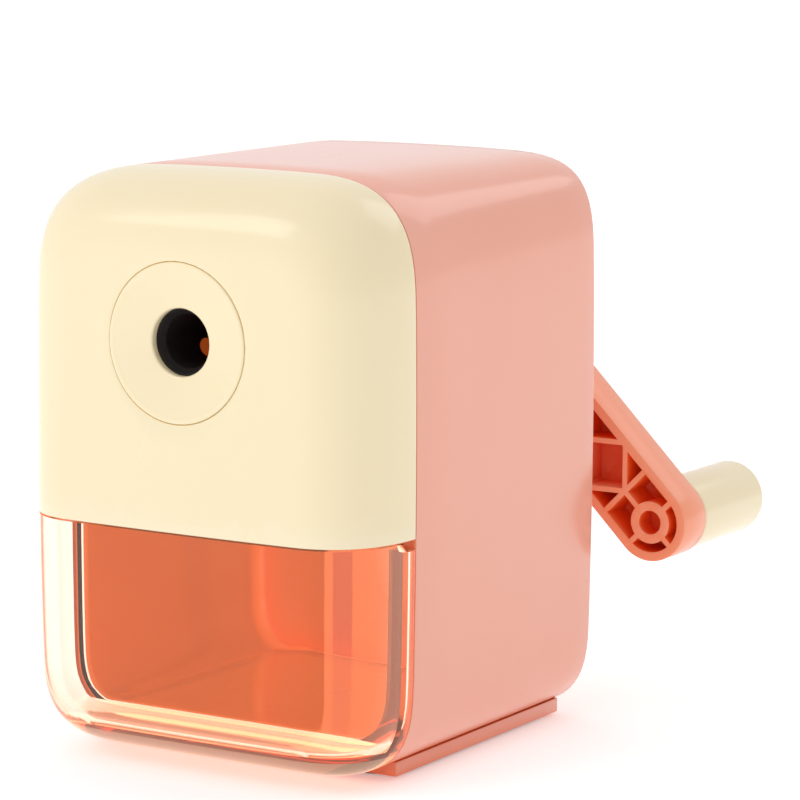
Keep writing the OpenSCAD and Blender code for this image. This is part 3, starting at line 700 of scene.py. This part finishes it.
class CoverOperator(bpy.types.Operator):
    """Moulds the cream cover over the upper front"""

    bl_idname = "sharpener.cover"
    bl_label = "Front cover"

    def execute(self, context):
        form = context.scene.sharpener_housing
        wall, edge = form.wall, form.edge
        reach = form.front_round
        face = outline(reach)
        seat_r = BEZEL_R + 0.04 * MM
        seat, bore = circle(seat_r, face), circle(BORE_R, face)
        surface = lambda x, z: front_depth(x, z)
        deep = lambda depth: lambda x, z: COVER_LOW.y + depth
        rings = [at(bore, deep(PAD_DEPTH)), at(bore, deep(BEZEL_T)),
                 at(circle(seat_r - 0.02 * MM, face), deep(BEZEL_T)),
                 at(seat, deep(BEZEL_T - 0.05 * MM)),
                 at(seat, lambda x, z: surface(x, z) + edge * 2.4),
                 at(circle(seat_r - 0.12 * MM, face), lambda x, z: surface(x, z) + edge * 2),
                 at(seat, lambda x, z: surface(x, z) + edge * 1.1),
                 at(circle(seat_r + edge * 0.35, face), lambda x, z: surface(x, z) + edge * 0.35),
                 at(circle(seat_r + edge * 1.1, face), surface)]
        ring_out = circle(seat_r + edge * 1.1, face)
        rings += [at(toward(ring_out, face, s), surface) for s in (0.08, 0.2, 0.35, 0.5, 0.65, 0.8, 0.92)]
        outer = front_rings()[::-1]
        outer[-1] = at(outline(edge * 0.5), CAP_Y)
        outer.insert(-1, at(outline(edge * 0.12), CAP_Y - edge * 0.4))
        rings += outer
        rings.append(at(outline(wall), CAP_Y))
        inner = front_rings(wall, (0.03, 0.2, 0.4, 0.6, 0.75, 0.87, 0.94, 0.98, 0.995, 1))
        rings += inner
        pad = circle(PAD_R, face)
        inside = lambda x, z: front_depth(x, z, 1, wall)
        rings += [at(toward(face, pad, s), inside) for s in (0.33, 0.66, 1)]
        rings += [at(pad, deep(PAD_DEPTH)), at(bore, deep(PAD_DEPTH))]
        bm = bmesh.new()
        loft(bm, rings)
        bmesh.ops.remove_doubles(bm, verts=bm.verts, dist=0.002 * MM)
        cut = bmesh.ops.bisect_plane(
            bm, geom=bm.verts[:] + bm.edges[:] + bm.faces[:], dist=0.001 * MM,
            plane_co=(0, 0, SEAM_Z), plane_no=(0, 0, 1), clear_inner=True,
        )
        rim = [e for e in cut["geom_cut"] if isinstance(e, bmesh.types.BMEdge)]
        bmesh.ops.triangle_fill(bm, use_beauty=True, use_dissolve=False, edges=rim)
        bmesh.ops.recalc_face_normals(bm, faces=bm.faces)
        boss_y = COVER_LOW.y + wall + 2.2 * MM
        for x, z in ((SCREW_X, SEAM_Z + 19.5 * MM), (HALF_W - 11 * MM, TOP - 9.5 * MM)):
            for side in (-1, 1):
                tube(bm, SCREW_R, boss_y, boss_y + 3.2 * MM, side * x, z)
        finished(bm, "front_cover_moulding", "cream", "housing", ["front_cover"])
        return {"FINISHED"}


class BezelOperator(bpy.types.Operator):
    """Turns the dished bezel round the pencil hole"""

    bl_idname = "sharpener.bezel"
    bl_label = "Hole bezel"

    def execute(self, context):
        face = 0.08 * MM
        points = [(6.4, 5.4), (6.4, 2.6), (5.15, 2.4), (5.15, 1.2), (11.2, 0.12), (11.6, 0.0), (12.3, 0.0),
                  (12.3, 1.8), (8.1, 1.8), (8.1, 5.4), (6.4, 5.4)]
        points = [(r * MM, y * MM) for r, y in points]
        profile = rounded_profile(points, [0, 0.1 * MM, 0.45 * MM, 1.0 * MM, 0.5 * MM, 0.45 * MM, 0, 0, 0])
        bm = bmesh.new()
        spun(bm, profile, (0, BEZEL_LOW.y + face, HOLE_Z), 128)
        finished(bm, "hole_bezel_ring", "cream", "housing", ["hole_bezel"])
        return {"FINISHED"}


class DrawerOperator(bpy.types.Operator):
    """Moulds the clear shavings drawer"""

    bl_idname = "sharpener.drawer"
    bl_label = "Shavings drawer"

    def execute(self, context):
        form = context.scene.sharpener_housing
        wall = form.wall
        top, tub_low, floor = DRAWER_HIGH.z, TUB_LOW, DRAWER_FLOOR
        back = DRAWER_HIGH.y
        middle = [(0.0, 20 * MM)] * len(outline())

        def tub(inset, y, low):
            return at(outline(inset, low), y)

        def closed(face_y, rings, end_y, inset, low):
            front = outline(form.front_round, low if low > tub_low else None)
            start = [at(toward(middle, front, s), face_y) for s in (0, 0.2, 0.45, 0.7, 0.9)]
            finish = [at(toward(outline(inset, low), middle, s), end_y) for s in (0.3, 0.6, 0.85, 1)]
            return start + rings + finish

        outer = front_rings(0.0, [0, 0.05] + steps_past(RIM_STEP))[::-1]
        outer[-1] = at(outline(0.15 * MM), CAP_Y)
        stations = (-15 * MM, 0, 12 * MM)
        for y in (CAP_Y, CAP_Y + 0.4 * MM, *stations, back - TUB_ROUND):
            outer.append(tub(TUB_INSET, y, tub_low))
        for k in range(1, 7):
            a = k / 6 * math.pi / 2
            inset = TUB_INSET + TUB_ROUND * (1 - math.cos(a))
            outer.append(tub(inset, back - TUB_ROUND * (1 - math.sin(a)), tub_low))
        outside = closed(lambda x, z: front_depth(x, z), outer, back, TUB_INSET + TUB_ROUND, tub_low)

        flange_y = CAP_Y - 1.6 * MM
        inner_inset, inner_back = TUB_INSET + TUB_WALL, back - TUB_WALL
        inner = front_rings(wall, steps_past(RIM_STEP, wall)[::-1], floor)
        inner.append(tub(wall, flange_y, floor))
        for y in (flange_y, flange_y + 0.4 * MM, *stations, back - inner_inset):
            inner.append(tub(inner_inset, y, floor))
        for k in range(1, 7):
            a = k / 6 * math.pi / 2
            inset = inner_inset + TUB_INNER_ROUND * (1 - math.cos(a))
            inner.append(tub(inset, inner_back - TUB_INNER_ROUND * (1 - math.sin(a)), floor))
        end_inset = inner_inset + TUB_INNER_ROUND
        inside = closed(lambda x, z: front_depth(x, z, 1, wall), inner, inner_back, end_inset, floor)

        bm = bmesh.new()
        loft(bm, outside)
        bmesh.ops.recalc_face_normals(bm, faces=bm.faces)
        loft(bm, inside)
        bmesh.ops.remove_doubles(bm, verts=bm.verts, dist=0.002 * MM)
        cut = bmesh.ops.bisect_plane(
            bm, geom=bm.verts[:] + bm.edges[:] + bm.faces[:], dist=0.001 * MM,
            plane_co=(0, 0, top), plane_no=(0, 0, 1), clear_outer=True,
        )
        rim = [e for e in cut["geom_cut"] if isinstance(e, bmesh.types.BMEdge)]
        bmesh.ops.triangle_fill(bm, use_beauty=True, use_dissolve=False, edges=rim, normal=(0, 0, 1))
        step_y = CAP_Y - RIM_STEP
        for vert in {v for e in rim for v in e.verts}:
            if vert.co.y > step_y:
                vert.co.z = top - RIM_DROP
        finished(bm, "shavings_drawer_clear", "clear", "drawer", ["shavings_drawer"], 30)
        return {"FINISHED"}


class CrankOperator(bpy.types.Operator):
    """Finishes the ribbed crank arm and its hub cap"""

    bl_idname = "sharpener.crank"
    bl_label = "Crank arm"

    def execute(self, context):
        softened("crank_arm", "crank_arm_moulding", 0.28 * MM, "crank", "crank")
        softened("hub_cap", "hub_cap_disc", 0.2 * MM, "crank", "crank")
        return {"FINISHED"}


class GripOperator(bpy.types.Operator):
    """Turns the cream grip and its end cap"""

    bl_idname = "sharpener.grip"
    bl_label = "Crank grip"

    def execute(self, context):
        centre = (GRIP_LOW + GRIP_HIGH) / 2
        radius, length = (GRIP_HIGH.x - GRIP_LOW.x) / 2, GRIP_HIGH.y - GRIP_LOW.y
        cap_r = (CAP_HIGH.x - CAP_LOW.x) / 2
        bore, seat, seat_y = 2.06 * MM, cap_r + 0.05 * MM, length - 4 * MM
        points = [(bore, 0), (radius - 0.3 * MM, 0), (radius, 0.5 * MM), (radius, length),
                  (seat, length), (seat, seat_y), (bore, seat_y), (bore, 0)]
        profile = rounded_profile(points, [0.5 * MM, 0.5 * MM, 1.6 * MM, 0.12 * MM, 0, 0])
        bm = bmesh.new()
        spun(bm, profile, (centre.x, GRIP_LOW.y, centre.z), 96)
        finished(bm, "crank_grip_sleeve", "cream", "grip", ["crank_grip"])
        thick = CAP_HIGH.y - CAP_LOW.y
        points = [(0, 0), (cap_r - 0.05 * MM, 0), (cap_r - 0.05 * MM, thick), (0, thick)]
        bm = bmesh.new()
        spun(bm, rounded_profile(points, [0.1 * MM, 0.25 * MM]), (centre.x, CAP_LOW.y, centre.z), 72)
        finished(bm, "grip_cap_disc", "cream", "grip", ["grip_cap"])
        return {"FINISHED"}


class BaseOperator(bpy.types.Operator):
    """Finishes the base plate and the rubber foot ring"""

    bl_idname = "sharpener.base"
    bl_label = "Base"

    def execute(self, context):
        softened("base_plate", "base_plate_moulding", 0.25 * MM, "coral", "housing")
        softened("foot_ring", "foot_ring_rubber", 0.2 * MM, "rubber", "housing")
        return {"FINISHED"}


class MechanismOperator(bpy.types.Operator):
    """Gives the pieces of the mechanism their finishes"""

    bl_idname = "sharpener.mechanism"
    bl_label = "Mechanism"

    def execute(self, context):
        finish_of = {
            "black": ("inner_frame", "ring_gear"),
            "carrier": ("cutter_carrier", "cutter_pinion"),
            "brass": ("rear_bushing",),
            "crank": ("grip_pin",),
            "steel": (
                "helical_cutter", "cutter_axle", "axle_clip", "drive_shaft", "shaft_pin", "thrust_washer",
                "crank_screw", "cover_screws", "rear_screws", "base_screws",
            ),
        }
        for finish, nodes in finish_of.items():
            for name in nodes:
                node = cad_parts[name]
                node.data.materials.clear()
                node.data.materials.append(finishes()[finish])
        return {"FINISHED"}


class StageOperator(bpy.types.Operator):
    """Sets the floor, the light and the camera"""

    bl_idname = "sharpener.stage"
    bl_label = "Stage"

    def execute(self, context):
        scene = context.scene
        bm = bmesh.new()
        bmesh.ops.create_grid(bm, x_segments=1, y_segments=1, size=4)
        mesh = bpy.data.meshes.new("floor")
        bm.to_mesh(mesh)
        bm.free()
        floor = bpy.data.objects.new("floor", mesh)
        scene.collection.objects.link(floor)
        mesh.materials.append(floor_finish("pale_floor"))

        world = bpy.data.worlds.new("studio")
        scene.world = world
        world.use_nodes = True
        tree = world.node_tree
        sky = tree.nodes["Background"]
        sky.inputs["Strength"].default_value = 0.93
        way = tree.nodes.new("ShaderNodeTexCoord")
        facing = tree.nodes.new("ShaderNodeVectorMath")
        facing.operation = "DOT_PRODUCT"
        facing.inputs[1].default_value = (-0.85, 0.15, 0.5)
        falloff = tree.nodes.new("ShaderNodeValToRGB")
        stops = falloff.color_ramp.elements
        stops[0].position, stops[0].color = 0.15, (0.57, 0.57, 0.57, 1)
        stops[1].position, stops[1].color = 0.62, (1, 1, 1, 1)
        half = tree.nodes.new("ShaderNodeMath")
        half.operation = "MULTIPLY_ADD"
        half.inputs[1].default_value = half.inputs[2].default_value = 0.5
        tree.links.new(way.outputs["Generated"], facing.inputs[0])
        tree.links.new(facing.outputs["Value"], half.inputs[0])
        tree.links.new(half.outputs[0], falloff.inputs[0])
        tree.links.new(falloff.outputs["Color"], sky.inputs["Color"])
        scene.view_settings.view_transform = "Standard"
        for name, place, aim, size, watts in (
            ("key_softbox", (-0.45, -0.75, 0.75), (0, -0.03, 0.05), 0.5, 1.9),
            ("back_softbox", (0.3, 0.7, 0.7), (0, 0, 0.08), 0.5, 0.8),
        ):
            lamp = bpy.data.lights.new(name, "AREA")
            lamp.shape = "SQUARE"
            lamp.size = size
            lamp.energy = watts
            light = bpy.data.objects.new(name, lamp)
            light.location = place
            light.rotation_mode = "QUATERNION"
            light.rotation_quaternion = (Vector(aim) - Vector(place)).to_track_quat("-Z", "Y")
            scene.collection.objects.link(light)

        data = bpy.data.cameras.new("camera")
        data.lens = 160.236
        data.sensor_width = 36
        data.clip_start, data.clip_end = 0.01, 20
        camera = bpy.data.objects.new("camera", data)
        turn, rise, roll = (math.radians(a) for a in (31.548, 8.676, 0.335))
        back = Vector((math.sin(turn) * math.cos(rise), -math.cos(turn) * math.cos(rise), math.sin(rise)))
        across = Vector((math.cos(turn), math.sin(turn), 0))
        up = back.cross(across)
        level = Matrix((across, up, back)).transposed()
        tilt = Matrix.Rotation(roll, 3, "Z")
        camera.matrix_world = Matrix.LocRotScale(
            Vector((29.4, -27.75, 59.6)) * MM + back * 0.5326, level @ tilt, None
        )
        scene.collection.objects.link(camera)
        scene.camera = camera
        return {"FINISHED"}


OPERATORS = (
    ShellOperator, FloorBossOperator, CoverOperator, BezelOperator, DrawerOperator, CrankOperator,
    GripOperator, BaseOperator, MechanismOperator, StageOperator,
)


class SharpenerPanel(bpy.types.Panel):
    """Lists the sharpener's pieces and settings"""

    bl_idname = "VIEW3D_PT_sharpener"
    bl_label = "Pencil sharpener"
    bl_space_type = "VIEW_3D"
    bl_region_type = "UI"
    bl_category = "Sharpener"

    def draw(self, context):
        for name in ("sharpener_housing", "sharpener_finish"):
            group = getattr(context.scene, name)
            box = self.layout.box()
            for key in group.__annotations__:
                box.prop(group, key)
        for operator in OPERATORS:
            self.layout.operator(operator.bl_idname)


CLASSES = (HousingSettings, FinishSettings, *OPERATORS, SharpenerPanel)


def register():
    for item in CLASSES:
        bpy.utils.register_class(item)
    bpy.types.Scene.sharpener_housing = bpy.props.PointerProperty(type=HousingSettings)
    bpy.types.Scene.sharpener_finish = bpy.props.PointerProperty(type=FinishSettings)


def unregister():
    del bpy.types.Scene.sharpener_finish
    del bpy.types.Scene.sharpener_housing
    for item in reversed(CLASSES):
        bpy.utils.unregister_class(item)


def main():
    register()
    for operator in OPERATORS:
        group, name = operator.bl_idname.split(".")
        getattr(getattr(bpy.ops, group), name)()


if __name__ == "__main__":
    main()
